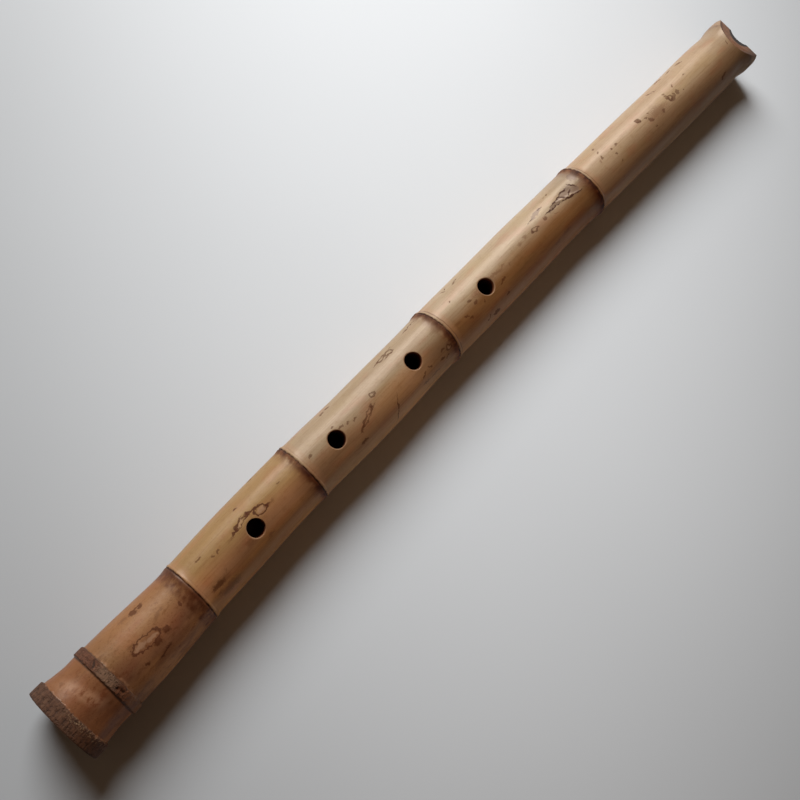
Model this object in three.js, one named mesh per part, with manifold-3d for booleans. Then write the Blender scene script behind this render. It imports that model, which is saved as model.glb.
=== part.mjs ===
import * as THREE from 'three';
import { mergeVertices } from 'three/addons/utils/BufferGeometryUtils.js';
import Module from 'manifold-3d';

const wasm = await Module();
wasm.setup();

// A bamboo end-blown flute lying on a table: its root end towards -X, its finger holes up.
// All sizes are in millimetres.

// The culm
const fluteLength = 545;
const culmDiameter = 32.8;
const sidewaysBow = 3.1;

// The two bands of cut root stubs
const rootBandDiameter = 42.2;
const rootBandWidth = 7.5;
const secondBandPlace = 24.4;
const secondBandDiameter = 38.8;
const secondBandWidth = 5.3;
const stubNotchDepth = 0.5;
const bandEdgeRound = 0.9;

// The ridge and the sheath scar at each node
const ridgeWidth = 4;
const scarWidth = 1.6;
const scarDepth = 0.35;

// The wall from the culm's skin to the bore, and what lines it
const mouthWall = 6.4;
const throatWall = 8.4;
const rootWall = 7.4;
const liningThickness = 1.1;
const seatClearance = 0.3;

// The finger holes
const fingerHoleDiameter = 9.4;
const holeChamfer = 0.5;

// The blowing edge
const blowingEdgeDrop = 4.5;
const mouthRimRound = 1.1;
const inlayThickness = 2.5;
const inlayLength = 13;

// One named overrun for every cut
const overrun = 5;

// Angles, in degrees
const bevelAngle = 30;
const firstHoleTurn = 5.4;

// Counts
const stubCount = 22;
const sidesPerStub = 3;
const culmSides = stubCount * sidesPerStub;
const stretchSteps = 4;
const boreSides = 32;
const boreSteps = 12;
const holeSides = 24;

// Each node from the third to the seventh. along is a share of the flute's length. ridge, low and
// high are shares of the culm's diameter: over the ridge, just below it and just above it. lean is
// how far the front of the ring stands towards the mouth, as a share of the same diameter.
const nodeShares = [
  { along: 0.1477, low: 1.018, ridge: 1.034, high: 1.006, lean: 0.024 },
  { along: 0.2936, low: 1.006, ridge: 1.034, high: 0.994, lean: -0.088 },
  { along: 0.4835, low: 0.994, ridge: 1.04, high: 0.994, lean: 0.037 },
  { along: 0.7176, low: 1.01, ridge: 1.034, high: 0.982, lean: -0.049 },
  { along: 0.988, low: 0.955, ridge: 1.055, high: 1.05, lean: 0 },
];

// The culm's width halfway along each stretch between nodes, as shares of its diameter
const stretchMiddleShares = [1.068, 0.998, 0.99, 1.0, 0.998];

// The neck between the two root bands: its width at both ends and in the middle
const neckShares = { start: 1.19, middle: 1.15, end: 1.13 };
const rootStretchStartShare = 1.105;

// How far the culm bows sideways: shares of the length, and of the bow
const bowPlaceShares = [0, 0.148, 0.294, 0.484, 0.606, 0.717, 0.86, 1];
const bowShares = [0, 0.33, 0.75, 0.95, 1, 0.74, 0.4, -0.1];

// The finger holes, root end first, and the thumb hole at the back, as shares of the length
const fingerHoleShares = [0.2231, 0.3314, 0.4385, 0.5473];
const thumbHoleShare = 0.611;

// Where the bore is narrowest, as a share of the length
const throatShare = 0.3;

const culmMaterial = new THREE.MeshStandardMaterial({ color: 0xb98f58, roughness: 0.45, metalness: 0 });
const inlayMaterial = new THREE.MeshStandardMaterial({ color: 0x2a1c14, roughness: 0.3, metalness: 0 });
const liningMaterial = new THREE.MeshStandardMaterial({ color: 0x4a1c12, roughness: 0.3, metalness: 0 });

const culmRadius = culmDiameter / 2;
const mouthBoreRadius = culmRadius - mouthWall;
const nodes = nodeShares.map((share) => ({
  place: share.along * fluteLength,
  low: share.low * culmRadius,
  ridge: share.ridge * culmRadius,
  high: share.high * culmRadius,
  lean: share.lean * culmRadius,
}));
const [, , fifthNode, sixthNode, mouthNode] = nodes;
const blowingEdgePlace = fluteLength - blowingEdgeDrop;
const inlaySeatPlace = fluteLength - inlayLength;
const liningLength = inlaySeatPlace - seatClearance;

// A smooth curve through values at rising places
function smoothThrough(places, values, at) {
  const last = places.length - 1;
  let k = places.findIndex((place) => place > at) - 1;
  if (k < 0) k = at <= places[0] ? 0 : last - 1;
  const slope = (i) => {
    const before = Math.max(i - 1, 0);
    const after = Math.min(i + 1, last);
    return (values[after] - values[before]) / (places[after] - places[before]);
  };
  const span = places[k + 1] - places[k];
  const t = Math.min(Math.max((at - places[k]) / span, 0), 1);
  const rise = t * t * (3 - 2 * t);
  const leave = t * (1 - t) * (1 - t) * span;
  const arrive = t * t * (1 - t) * span;
  return values[k] + (values[k + 1] - values[k]) * rise + slope(k) * leave - slope(k + 1) * arrive;
}

// The culm's centre line: it bows to one side, and its height lets it rest on the root band, on
// the fifth and sixth nodes and on the mouth's ridge
const restPlaces = [0, fifthNode.place, sixthNode.place, mouthNode.place];
const restHeights = [rootBandDiameter / 2, fifthNode.ridge, sixthNode.ridge, mouthNode.ridge];
const bowPlaces = bowPlaceShares.map((share) => share * fluteLength);
const bowOffsets = bowShares.map((share) => share * sidewaysBow);

function centreAt(along) {
  return new THREE.Vector3(
    along,
    smoothThrough(bowPlaces, bowOffsets, along),
    smoothThrough(restPlaces, restHeights, along),
  );
}

// How far the rings of the culm lean towards the mouth on its front side
const leanPlaces = [0, ...nodes.map((node) => node.place), fluteLength];
const leanValues = [0, ...nodes.map((node) => node.lean), 0];

// A revolved profile of [radius, place along] points, laid on the bowed centre line. reshape may
// change each point before that. It is told the point's side and its entry in the profile.
function revolveAlongFlute(profile, sides, reshape) {
  const points = profile.map(([radius, along]) => new THREE.Vector2(radius, along));
  const geometry = new THREE.LatheGeometry(points, sides, Math.PI / sides);
  geometry.rotateZ(-Math.PI / 2);
  const position = geometry.attributes.position;
  const point = new THREE.Vector3();
  for (let i = 0; i < position.count; i += 1) {
    point.fromBufferAttribute(position, i);
    const side = Math.floor(i / profile.length) % sides;
    if (reshape) reshape(point, side, profile[i % profile.length]);
    point.add(centreAt(point.x).setX(0));
    position.setXYZ(i, point.x, point.y, point.z);
  }
  return geometry;
}

function toSolid(geometry) {
  const bare = geometry.clone();
  bare.deleteAttribute('normal');
  bare.deleteAttribute('uv');
  const merged = mergeVertices(bare);
  const vertProperties = new Float32Array(merged.attributes.position.array);
  const triVerts = new Uint32Array(merged.index.array);
  return new wasm.Manifold(new wasm.Mesh({ numProp: 3, vertProperties, triVerts }));
}

function toMesh(solid, name, material) {
  const { vertProperties, triVerts } = solid.getMesh();
  const geometry = new THREE.BufferGeometry();
  geometry.setAttribute('position', new THREE.BufferAttribute(vertProperties, 3));
  geometry.setIndex(new THREE.BufferAttribute(triVerts, 1));
  const mesh = new THREE.Mesh(geometry, material);
  mesh.name = name;
  return mesh;
}

// A band of cut root stubs: a ring with rounded edges, [radius, along, notch] from root to mouth,
// where notch is how deep the crevice between two stubs is there
function bandProfile(start, width, radius) {
  return [
    [radius - bandEdgeRound, start],
    [radius, start + bandEdgeRound, stubNotchDepth],
    [radius, start + width - bandEdgeRound, stubNotchDepth],
    [radius - bandEdgeRound, start + width],
  ];
}

// A node: the sheath scar's groove, then the ridge
function nodeProfile(node) {
  const scarStart = node.place - ridgeWidth / 2 - scarWidth;
  return [
    [node.low, scarStart],
    [node.low - scarDepth, scarStart + scarWidth / 2],
    [(node.low + node.ridge) / 2, scarStart + scarWidth],
    [node.ridge, node.place],
    [node.high, node.place + ridgeWidth / 2],
  ];
}

// The points between two nodes, without its ends
function stretchProfile(start, middle, end) {
  const places = [start[1], (start[1] + end[1]) / 2, end[1]];
  const radii = [start[0], middle, end[0]];
  const inner = [];
  for (let step = 1; step < stretchSteps; step += 1) {
    const along = THREE.MathUtils.lerp(start[1], end[1], step / stretchSteps);
    inner.push([smoothThrough(places, radii, along), along]);
  }
  return inner;
}

const secondBandEnd = secondBandPlace + secondBandWidth;

function culmProfile() {
  const neckStart = [neckShares.start * culmRadius, rootBandWidth];
  const neckEnd = [neckShares.end * culmRadius, secondBandPlace];
  const profile = [
    [0, 0],
    ...bandProfile(0, rootBandWidth, rootBandDiameter / 2),
    neckStart,
    ...stretchProfile(neckStart, neckShares.middle * culmRadius, neckEnd),
    neckEnd,
    ...bandProfile(secondBandPlace, secondBandWidth, secondBandDiameter / 2),
  ];
  let start = [rootStretchStartShare * culmRadius, secondBandEnd];
  profile.push(start);
  nodes.forEach((node, i) => {
    const ring = nodeProfile(node);
    profile.push(...stretchProfile(start, stretchMiddleShares[i] * culmRadius, ring[0]));
    if (node === mouthNode) ring.pop();
    profile.push(...ring);
    start = ring[ring.length - 1];
  });
  profile.push(
    [mouthNode.high, fluteLength - mouthRimRound],
    [mouthNode.high - mouthRimRound, fluteLength],
    [0, fluteLength],
  );
  return profile;
}

// Leans the rings, and cuts a notch between neighbouring root stubs
function reshapeCulm(point, side, [, along, notch = 0]) {
  const radius = Math.hypot(point.y, point.z);
  if (notch > 0 && side % sidesPerStub === 0) {
    const kept = 1 - notch / radius;
    point.y *= kept;
    point.z *= kept;
  }
  const front = radius > 0 ? point.z / radius : 0;
  point.x += smoothThrough(leanPlaces, leanValues, along) * front;
}

// The bore's radius, widest at the mouth and narrowest at the throat
const borePlaces = [0, throatShare * fluteLength, fluteLength];
const boreRadii = [culmRadius - rootWall, culmRadius - throatWall, mouthBoreRadius];

function boreProfile(from, to, wall) {
  const steps = Math.ceil((boreSteps * (to - from)) / fluteLength);
  const profile = [];
  for (let step = 0; step <= steps; step += 1) {
    const along = THREE.MathUtils.lerp(from, to, step / steps);
    profile.push([smoothThrough(borePlaces, boreRadii, along) + wall, along]);
  }
  return profile;
}

// A solid plug of the bore's shape, wider by wall all round, from one place to another
function borePlug(from, to, wall) {
  const profile = [[0, from], ...boreProfile(from, to, wall), [0, to]];
  return toSolid(revolveAlongFlute(profile, boreSides));
}

// A cutter for one finger hole: straight through one wall, with a chamfer at the outside
function holeCutter(share, wallRadius, turn) {
  const radius = fingerHoleDiameter / 2;
  const profile = [
    [0, 0],
    [radius, 0],
    [radius, wallRadius - holeChamfer],
    [radius + holeChamfer, wallRadius],
    [radius + holeChamfer + overrun, wallRadius + overrun],
    [0, wallRadius + overrun],
  ].map(([r, up]) => new THREE.Vector2(r, up));
  const geometry = new THREE.LatheGeometry(profile, holeSides);
  geometry.rotateX(Math.PI / 2 + THREE.MathUtils.degToRad(turn));
  const centre = centreAt(share * fluteLength);
  geometry.translate(centre.x, centre.y, centre.z);
  return toSolid(geometry);
}

function allHoleCutters() {
  const wallRadius = culmRadius * stretchMiddleShares[2];
  const holes = fingerHoleShares.map((share, i) => holeCutter(share, wallRadius, i === 0 ? firstHoleTurn : 0));
  const thumbHole = holeCutter(thumbHoleShare, wallRadius, 180);
  return holes.reduce((joined, hole) => joined.add(hole), thumbHole);
}

// All that lies in front of the bevel that ends in the blowing edge
function bevelCutter() {
  const reach = rootBandDiameter;
  const geometry = new THREE.BoxGeometry(reach * 2, reach * 2, reach);
  geometry.translate(0, 0, reach / 2);
  geometry.rotateY(THREE.MathUtils.degToRad(bevelAngle));
  const centre = centreAt(blowingEdgePlace);
  geometry.translate(centre.x, centre.y, centre.z + mouthBoreRadius);
  return toSolid(geometry);
}

// The crescent of the inlay: a round bar from its seat to a place near the mouth, which overlaps
// the front side of the bore
function inlayBar(from, to, clearance) {
  const barRadius = mouthBoreRadius - inlayThickness / 2;
  const lift = mouthBoreRadius + inlayThickness - barRadius;
  const radius = barRadius - clearance;
  const geometry = new THREE.CylinderGeometry(radius, radius, to - from, boreSides);
  geometry.rotateZ(-Math.PI / 2);
  const centre = centreAt(fluteLength);
  geometry.translate((from + to) / 2, centre.y, centre.z + lift);
  return toSolid(geometry);
}

function buildCulm() {
  const culm = toSolid(revolveAlongFlute(culmProfile(), culmSides, reshapeCulm));
  return culm
    .subtract(borePlug(-overrun, liningLength + seatClearance, liningThickness + seatClearance))
    .subtract(borePlug(liningLength, fluteLength + overrun, 0))
    .subtract(allHoleCutters())
    .subtract(inlayBar(inlaySeatPlace, fluteLength + overrun, 0))
    .subtract(bevelCutter());
}

function buildLining() {
  const outer = borePlug(0, liningLength, liningThickness);
  return outer.subtract(borePlug(-overrun, liningLength + overrun, 0)).subtract(allHoleCutters());
}

function buildInlay() {
  return inlayBar(inlaySeatPlace + seatClearance, fluteLength, seatClearance)
    .subtract(borePlug(liningLength, fluteLength + overrun, 0))
    .subtract(bevelCutter());
}

const flute = new THREE.Group();
flute.add(toMesh(buildCulm(), 'culm_body', culmMaterial));
flute.add(toMesh(buildLining(), 'bore_lining', liningMaterial));
flute.add(toMesh(buildInlay(), 'blowing_edge_inlay', inlayMaterial));

// The origin is at the middle of the flute's box, on the table
const box = new THREE.Box3().setFromObject(flute);
const middle = box.getCenter(new THREE.Vector3());
flute.position.set(-middle.x, -middle.y, -box.min.z);

export default flute;
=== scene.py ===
from math import cos, pi, radians, sin
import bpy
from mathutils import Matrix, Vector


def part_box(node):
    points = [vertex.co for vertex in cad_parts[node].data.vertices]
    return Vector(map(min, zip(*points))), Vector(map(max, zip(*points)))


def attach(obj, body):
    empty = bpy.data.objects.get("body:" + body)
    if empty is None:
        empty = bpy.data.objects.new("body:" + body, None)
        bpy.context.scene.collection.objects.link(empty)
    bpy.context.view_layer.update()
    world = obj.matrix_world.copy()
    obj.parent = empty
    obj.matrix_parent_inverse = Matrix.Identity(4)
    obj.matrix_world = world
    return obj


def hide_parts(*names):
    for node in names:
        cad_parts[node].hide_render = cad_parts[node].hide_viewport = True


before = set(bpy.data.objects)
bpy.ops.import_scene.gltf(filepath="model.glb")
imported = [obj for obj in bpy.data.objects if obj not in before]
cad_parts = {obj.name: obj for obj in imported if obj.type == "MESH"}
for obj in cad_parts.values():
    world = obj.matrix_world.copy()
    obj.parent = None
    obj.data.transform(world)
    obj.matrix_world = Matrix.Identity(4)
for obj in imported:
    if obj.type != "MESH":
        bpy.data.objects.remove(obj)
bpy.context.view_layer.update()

from types import SimpleNamespace

import bmesh
import bpy
import numpy as np
from mathutils import Matrix, Vector

# The bamboo culm: its form
# One length of bamboo, cut from the root end of the plant so that its last two nodes, ringed with
# cut root stubs, make the foot. It is dried, trued a little at its nodes and rubbed with oil, and
# it keeps its own slight bow.
mm = 0.001
culm_low, culm_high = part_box("culm_body")
root_end = culm_low.x
flute_length = culm_high.x - culm_low.x
culm_radius = 16.4 * mm
culm_sides = 168

root_band = {"start": 0.0, "end": 7.5 * mm, "radius": 20.95 * mm, "stubs": 34, "crevice": 0.45 * mm}
second_band = {"start": 24.4 * mm, "end": 29.7 * mm, "radius": 19.35 * mm, "stubs": 38, "crevice": 0.35 * mm}
second_band["place"], second_band["lean"] = 27 * mm, 1.15 * mm

# Each node: its place as a share of the length, how far its ring rises over the culm, how far the
# front of the ring leans towards the mouth, as a share of the culm's radius, how strong its thin
# second line is, and its dark smudge: strength, reach in millimetres and how evenly it is stained
node_values = ("share", "rise", "lean", "second_line", "smudge", "reach", "stain")
node_rows = [
    (0.1477, 0.45 * mm, 0.024, 0.2, 0.62, 10.0, 0.0),
    (0.2936, 0.50 * mm, -0.088, 0.3, 0.95, 7.5, 0.12),
    (0.4835, 0.65 * mm, 0.037, 1.0, 0.95, 8.0, 0.12),
    (0.7176, 0.70 * mm, -0.049, 0.9, 1.0, 9.0, 0.36),
    (0.988, 0.0, 0.0, 0.0, 0.2, 6.0, 0.0),
]
nodes = [dict(zip(node_values, row)) for row in node_rows]
for node in nodes:
    node["place"] = node["share"] * flute_length

# The culm's own outline without bands and rings: each place in millimetres from the root end, with
# the radius there as a share of the culm's radius
skin_outline = [
    (0, 1.19), (7.5, 1.19), (12, 1.155), (18, 1.118), (24.4, 1.125), (29.7, 1.12), (45, 1.102),
    (60, 1.06), (72, 1.022), (77, 1.016), (83, 1.01), (92, 1.018), (110, 1.03), (130, 1.021),
    (145, 1.012), (156.5, 1.008), (163, 1.004), (175, 1.009), (205, 1.011), (225, 1.007), (245, 0.989),
    (260, 0.99), (267, 1.0), (290, 1.01), (320, 1.009), (345, 1.002), (365, 0.982), (383, 0.984),
    (394, 0.985), (440, 0.995), (480, 1.001), (505, 1.011), (520, 1.006), (530, 0.987), (537.5, 1.05),
    (545, 1.05),
]
skin_places, skin_shares = np.array(skin_outline).T
# How far the culm's centre lies towards +Y: places along it and distances, in millimetres
bow_line = [
    (0, 0), (45, 0), (72, 0.5), (86, 1.36), (110, 2.2), (142, 2.95), (165, 3.04), (200, 2.39),
    (240, 2.85), (263, 3.16), (300, 3.0), (344, 3.25), (385, 2.91), (396, 2.29), (443, 1.4), (475, 0.74),
    (505, 0.56), (545, -0.31),
]
bow_places, bow_offsets = np.array(bow_line).T
# How high its centre lies where it rests: at its foot, at two nodes and at its mouth
rest_places = [0, nodes[2]["place"], nodes[3]["place"], nodes[4]["place"]]
rest_heights = [21.17 * mm, 17.13 * mm, 17.13 * mm, 17.37 * mm]
least_height = 0.02 * mm


def smooth_through(places, values, at):
    """A smooth curve through values at rising places."""
    places = np.asarray(places, float)
    values = np.asarray(values, float)
    order = np.arange(len(places))
    before = np.maximum(order - 1, 0)
    after = np.minimum(order + 1, len(places) - 1)
    slopes = (values[after] - values[before]) / (places[after] - places[before])
    k = np.clip(np.searchsorted(places, at, side="right") - 1, 0, len(places) - 2)
    span = places[k + 1] - places[k]
    t = np.clip((at - places[k]) / span, 0, 1)
    rise = t * t * (3 - 2 * t)
    leave = slopes[k] * t * (1 - t) ** 2 * span
    arrive = slopes[k + 1] * t * t * (1 - t) * span
    return values[k] + (values[k + 1] - values[k]) * rise + leave - arrive


def centre_line(along):
    """How far the culm's centre lies sideways and up at each place along it."""
    bow = smooth_through(bow_places * mm, bow_offsets * mm, along)
    height = smooth_through(rest_places, rest_heights, along)
    return bow, height


def skin_radius(along):
    """The culm's radius without its bands and rings."""
    return culm_radius * smooth_through(skin_places * mm, skin_shares, along)


def lean_at(along):
    """How far the front of the culm's rings stands towards the mouth."""
    places = [0, second_band["place"]] + [node["place"] for node in nodes] + [flute_length]
    leans = [0, second_band["lean"]] + [node["lean"] * culm_radius for node in nodes] + [0]
    return smooth_through(places, leans, along)


def swell(distance, reach):
    """1 at distance 0, falling smoothly to nothing about two reaches away."""
    return np.exp(-((distance / reach) ** 2))


def wander(angle, seed):
    """A slow uneven wave around the culm, about -1 to 1."""
    slow = 0.5 * np.sin(2 * angle + 1.7 * seed) + 0.3 * np.sin(5 * angle + 2.9 * seed)
    return slow + 0.2 * np.sin(9 * angle + 4.1 * seed)


def crevice_between(angle, count, seed):
    """1 in the crevice between two root stubs and 0 on the stubs, which are uneven in width."""
    turn = angle / (2 * pi) * count + 0.45 * wander(angle, seed)
    return np.exp(-(((np.abs(turn - np.round(turn))) / 0.16) ** 2))


def band_rise(along, angle, band, seed):
    """How far a band of cut root stubs stands over the culm, with the crevices between its stubs."""
    crevice = crevice_between(angle, band["stubs"], seed)
    ragged = 0.6 + 0.4 * np.sin(angle - 2.2)
    edge = 0.55 * mm * ragged * (crevice - 0.35)
    start = band["start"] + 0.35 * mm * crevice * (band["start"] > 0)
    end = band["end"] - edge + 0.25 * mm * wander(angle * 3, seed)
    round_over = 0.75 * mm
    up = np.clip((along - start) / round_over + 0.45, 0, 1)
    down = np.clip((end - along) / round_over, 0, 1)
    cover = np.sqrt(1 - (1 - up) ** 2) * np.sqrt(1 - (1 - down) ** 2)
    if band["start"] == 0:
        cover = np.sqrt(1 - (1 - np.clip(up + 0.15, 0, 1)) ** 2) * np.sqrt(1 - (1 - down) ** 2)
    near_edge = np.clip(1 - (band["end"] - along) / (2.4 * mm), 0.18, 1)
    depth = band["crevice"] * ragged * near_edge * crevice
    fibre = 0.04 * mm * np.sin(angle * 97 + 3 * wander(angle * 4, seed))
    worn = 0.05 * mm * (1 + wander(angle, seed + 3))
    return cover * (band["radius"] - skin_radius(along) - depth + fibre - worn)


def ring_rise(along, angle, node, seed):
    """The ring at a node: a swelling, the thin groove where the sheath grew, and the ridge past it."""
    d = along - node["place"] - 0.2 * mm * wander(angle, seed)
    swelling = np.where(d < 0, swell(d, 2.6 * mm), swell(d, 2.1 * mm))
    ridge = 0.16 * mm * swell(d - 1.1 * mm, 0.7 * mm)
    groove = 0.34 * mm * swell(d, 0.34 * mm)
    second = 0.12 * mm * swell(d - 2.1 * mm, 0.3 * mm) * node["second_line"]
    uneven = 1 + 0.12 * wander(angle, seed + 5)
    if node["rise"] == 0:
        return 0 * d
    return node["rise"] * swelling * uneven + ridge - groove - second


# Places where the skin is sunk or raised: millimetres from the root end, degrees round from the
# front towards +Y, tilt in degrees, half length and half width in millimetres, and the rise
dents = [
    (27.0, -19, 0, 0.75, 0.75, -0.7), (27.2, -25, 0, 0.7, 0.75, -0.7), (27.0, 29, 35, 1.6, 0.6, -0.5),
    (371, 17, 14, 11, 3.0, -0.30), (379, 12, -30, 4, 2.6, -0.30), (374, 9, -18, 9, 0.8, 0.35),
    (48, -3, 0, 6.5, 1.7, -0.12), (53.3, -13, 0, 2.3, 1.6, 0.14), (59.4, -10, 0, 1.9, 1.5, 0.14),
    (118.5, 16.5, 8, 6, 1.2, -0.12), (130.4, 8, -12, 4.4, 2.4, -0.12), (258.6, -31, 0, 1.7, 1.3, 0.12),
    (345, 8, 0, 2, 1.2, 0.12), (352, 31, 12, 6, 1.6, -0.12),
]


def dent_rise(along, angle):
    """The small hollows and lumps of the skin, added up."""
    total = np.zeros_like(along)
    for place, around, tilt, half_length, half_width, rise in dents:
        x = along / mm - place
        y = (angle - radians(around)) * culm_radius / mm
        c, s = cos(radians(tilt)), sin(radians(tilt))
        away = np.hypot((c * x + s * y) / half_length, (c * y - s * x) / half_width)
        total += rise * mm * np.exp(-(away ** 4))
    return total


def culm_surface(along, angle):
    """The radius of the culm's outside at each place along and round it."""
    radius = skin_radius(along) + band_rise(along, angle, root_band, 1)
    radius += band_rise(along, angle, second_band, 2)
    for number, node in enumerate(nodes):
        radius += ring_rise(along, angle, node, number + 3)
    waves = 0.10 * wander(angle + along * 9, 2) + 0.06 * wander(angle * 2 - along * 23, 6)
    return radius + waves * mm + dent_rise(along, angle)


def revolve(name, outline, sides, ring=False):
    """A solid turned about the straight axis from [place along, radius] points."""
    shape = bmesh.new()
    corners = [shape.verts.new((along, 0, radius)) for along, radius in outline]
    edges = [shape.edges.new(pair) for pair in zip(corners, corners[1:])]
    if ring:
        edges.append(shape.edges.new((corners[-1], corners[0])))
    bmesh.ops.spin(
        shape, geom=corners + edges, cent=(0, 0, 0), axis=(1, 0, 0), angle=2 * pi, steps=sides, use_merge=True
    )
    bmesh.ops.remove_doubles(shape, verts=shape.verts, dist=0.001 * mm)
    open_edges = [edge for edge in shape.edges if edge.is_boundary]
    if open_edges:
        bmesh.ops.edgeloop_fill(shape, edges=open_edges)
    bmesh.ops.recalc_face_normals(shape, faces=shape.faces)
    return to_object(name, shape)


def to_object(name, shape):
    """A finished bmesh as an object at the origin."""
    mesh = bpy.data.meshes.new(name)
    shape.to_mesh(mesh)
    shape.free()
    piece = bpy.data.objects.new(name, mesh)
    bpy.context.scene.collection.objects.link(piece)
    return piece


def points_of(piece):
    points = np.empty(len(piece.data.vertices) * 3)
    piece.data.vertices.foreach_get("co", points)
    return points.reshape(-1, 3)


def move_points(piece, points):
    piece.data.vertices.foreach_set("co", points.ravel())
    piece.data.update()


def lay_along_flute(piece, surface=None):
    """Bends a straight turned solid to the culm's line, with the culm's own surface if it is given."""
    points = points_of(piece)
    along = points[:, 0].copy()
    radius = np.hypot(points[:, 1], points[:, 2])
    angle = np.arctan2(points[:, 1], points[:, 2])
    lean = 0
    if surface:
        radius = np.where(radius > 0.1 * mm, surface(along, angle), radius)
        lean = lean_at(along) * np.cos(angle)
    bow, height = centre_line(along)
    across = bow + radius * np.sin(angle)
    up = np.maximum(height + radius * np.cos(angle), least_height)
    laid = np.stack([root_end + along + lean, across, up], -1)
    move_points(piece, laid)


def straight_points(points):
    """Where points of the laid culm were on the straight one, in millimetres."""
    along = points[:, 0] - root_end
    for _ in range(4):
        bow, height = centre_line(along)
        y = points[:, 1] - bow
        z = points[:, 2] - height
        front = z / np.maximum(np.hypot(y, z), 0.01 * mm)
        along = points[:, 0] - root_end - lean_at(along) * front
    return np.stack([along, y, z], -1) / mm


def culm_stations():
    """Places along the culm for its rings of points, closer where it has finer form."""
    fine = [(0, 31 * mm, 0.5 * mm)]
    fine += [(node["place"] - 6 * mm, node["place"] + 4.5 * mm, 0.3 * mm) for node in nodes[:4]]
    holes = [share * flute_length for share in hole_shares]
    fine += [(hole - 6 * mm, hole + 6 * mm, 0.9 * mm) for hole in holes]
    fine += [(354 * mm, 386 * mm, 0.9 * mm), (40 * mm, 62 * mm, 1.0 * mm), (526 * mm, flute_length, 0.8 * mm)]
    places = [0.0]
    while places[-1] < flute_length:
        here = places[-1]
        step = min([near for start, end, near in fine if start <= here < end] + [2.3 * mm])
        places.append(here + step)
    return places[:-1] + [flute_length]


# The holes and the bevel of the blowing end
# Four finger holes in front and one thumb hole behind are drilled and burnt through the wall, and
# their walls are lacquered like the bore. The mouth is cut back at a slant to a sharp edge.
hole_shares = [0.2231, 0.3314, 0.4385, 0.5473]
hole_turns = [8.2, 1.0, 0.2, 0]
thumb_hole_share = 0.611
hole_radius = 4.7 * mm
hole_chamfer = 0.5 * mm
overrun = 5 * mm
bore_shares = [0, 0.3, 1]
bore_radii = [9 * mm, 8 * mm, 10 * mm]
lining_thickness = 1.1 * mm
inlay_seat = flute_length - 13 * mm
lining_gap = 0.3 * mm
lining_end = inlay_seat - lining_gap
edge_drop = 4.5 * mm
bevel_angle = radians(30)


def bore_radius(along):
    return smooth_through(np.array(bore_shares) * flute_length, bore_radii, along)


def bore_outline(start, end, wall):
    """Points along the bore's tapering side, a wall's thickness out from it."""
    places = np.linspace(start, end, 2 + int((end - start) / (9 * mm)))
    return [(along, float(bore_radius(along)) + wall) for along in places]


def hole_cutter(name, share, turn):
    """A round cutter through one wall, widened where it meets the culm's round outside."""
    along = share * flute_length
    wall = float(skin_radius(along))
    rim = hole_radius + hole_chamfer
    outline = [
        (-1 * mm, 0),
        (0, hole_radius),
        (wall - hole_chamfer, hole_radius),
        (wall - hole_chamfer * 0.3, hole_radius + 0.25 * hole_chamfer),
        (wall, rim),
        (wall + overrun, rim + overrun),
        (wall + overrun + 1 * mm, 0),
    ]
    cutter = revolve(name, outline, 72)
    points = points_of(cutter)
    up, y, x = points[:, 0].copy(), points[:, 1].copy(), points[:, 2].copy()
    round_up = np.where(up > wall * 0.9, np.sqrt(np.maximum(up ** 2 - y ** 2, 0)), up)
    turned = radians(turn)
    bow, height = centre_line(along)
    moved = np.stack([
        root_end + along + x,
        bow + y * cos(turned) - round_up * sin(turned),
        height + y * sin(turned) + round_up * cos(turned),
    ], -1)
    move_points(cutter, moved)
    shape = bmesh.new()
    shape.from_mesh(cutter.data)
    bmesh.ops.recalc_face_normals(shape, faces=shape.faces)
    shape.to_mesh(cutter.data)
    shape.free()
    cutter.data.materials.append(hole_wall)
    return cutter


def bevel_cutter():
    """A block in front of the slant that ends in the blowing edge."""
    shape = bmesh.new()
    bmesh.ops.create_cube(shape, size=1)
    block = 80 * mm
    bow, height = centre_line(flute_length - edge_drop)
    edge = Vector((root_end + flute_length - edge_drop, bow, height + 10 * mm))
    slant = Matrix.Rotation(bevel_angle, 4, "Y") @ Matrix.Translation((0, 0, block / 2))
    place = Matrix.Translation(edge) @ slant @ Matrix.Scale(block, 4)
    bmesh.ops.transform(shape, matrix=place, verts=shape.verts)
    cutter = to_object("bevel_cutter", shape)
    cutter.data.materials.append(cut_bamboo)
    return cutter


def inlay_bar(name, start, end, slack):
    """The round bar that the crescent of the inlay is cut from."""
    radius = 8.75 * mm - slack
    lift = 3.75 * mm
    shape = bmesh.new()
    bmesh.ops.create_cone(
        shape, cap_ends=True, segments=128, radius1=radius, radius2=radius, depth=end - start
    )
    bow, height = centre_line(flute_length)
    middle = Vector((root_end + (start + end) / 2, bow, height + lift))
    place = Matrix.Translation(middle) @ Matrix.Rotation(pi / 2, 4, "Y")
    bmesh.ops.transform(shape, matrix=place, verts=shape.verts)
    return to_object(name, shape)


def cut(piece, cutters):
    """Cuts the cutters out of a piece; new faces keep the cutters' finish."""
    for cutter in cutters:
        modifier = piece.modifiers.new("cut", "BOOLEAN")
        modifier.object = cutter
        modifier.operation = "DIFFERENCE"
        modifier.solver = "MANIFOLD"
        modifier.material_mode = "TRANSFER"
    made = bpy.data.meshes.new_from_object(piece.evaluated_get(bpy.context.evaluated_depsgraph_get()))
    piece.modifiers.clear()
    piece.data = made


def give_smooth_faces(piece, angle):
    piece.data.shade_smooth()
    piece.data.set_sharp_from_angle(angle=radians(angle))


def keep_straight_places(piece):
    """Stores each point's place on the straight culm, which the materials follow."""
    places = piece.data.attributes.new("straight", "FLOAT_VECTOR", "POINT")
    places.data.foreach_set("vector", straight_points(points_of(piece)).ravel())


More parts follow.
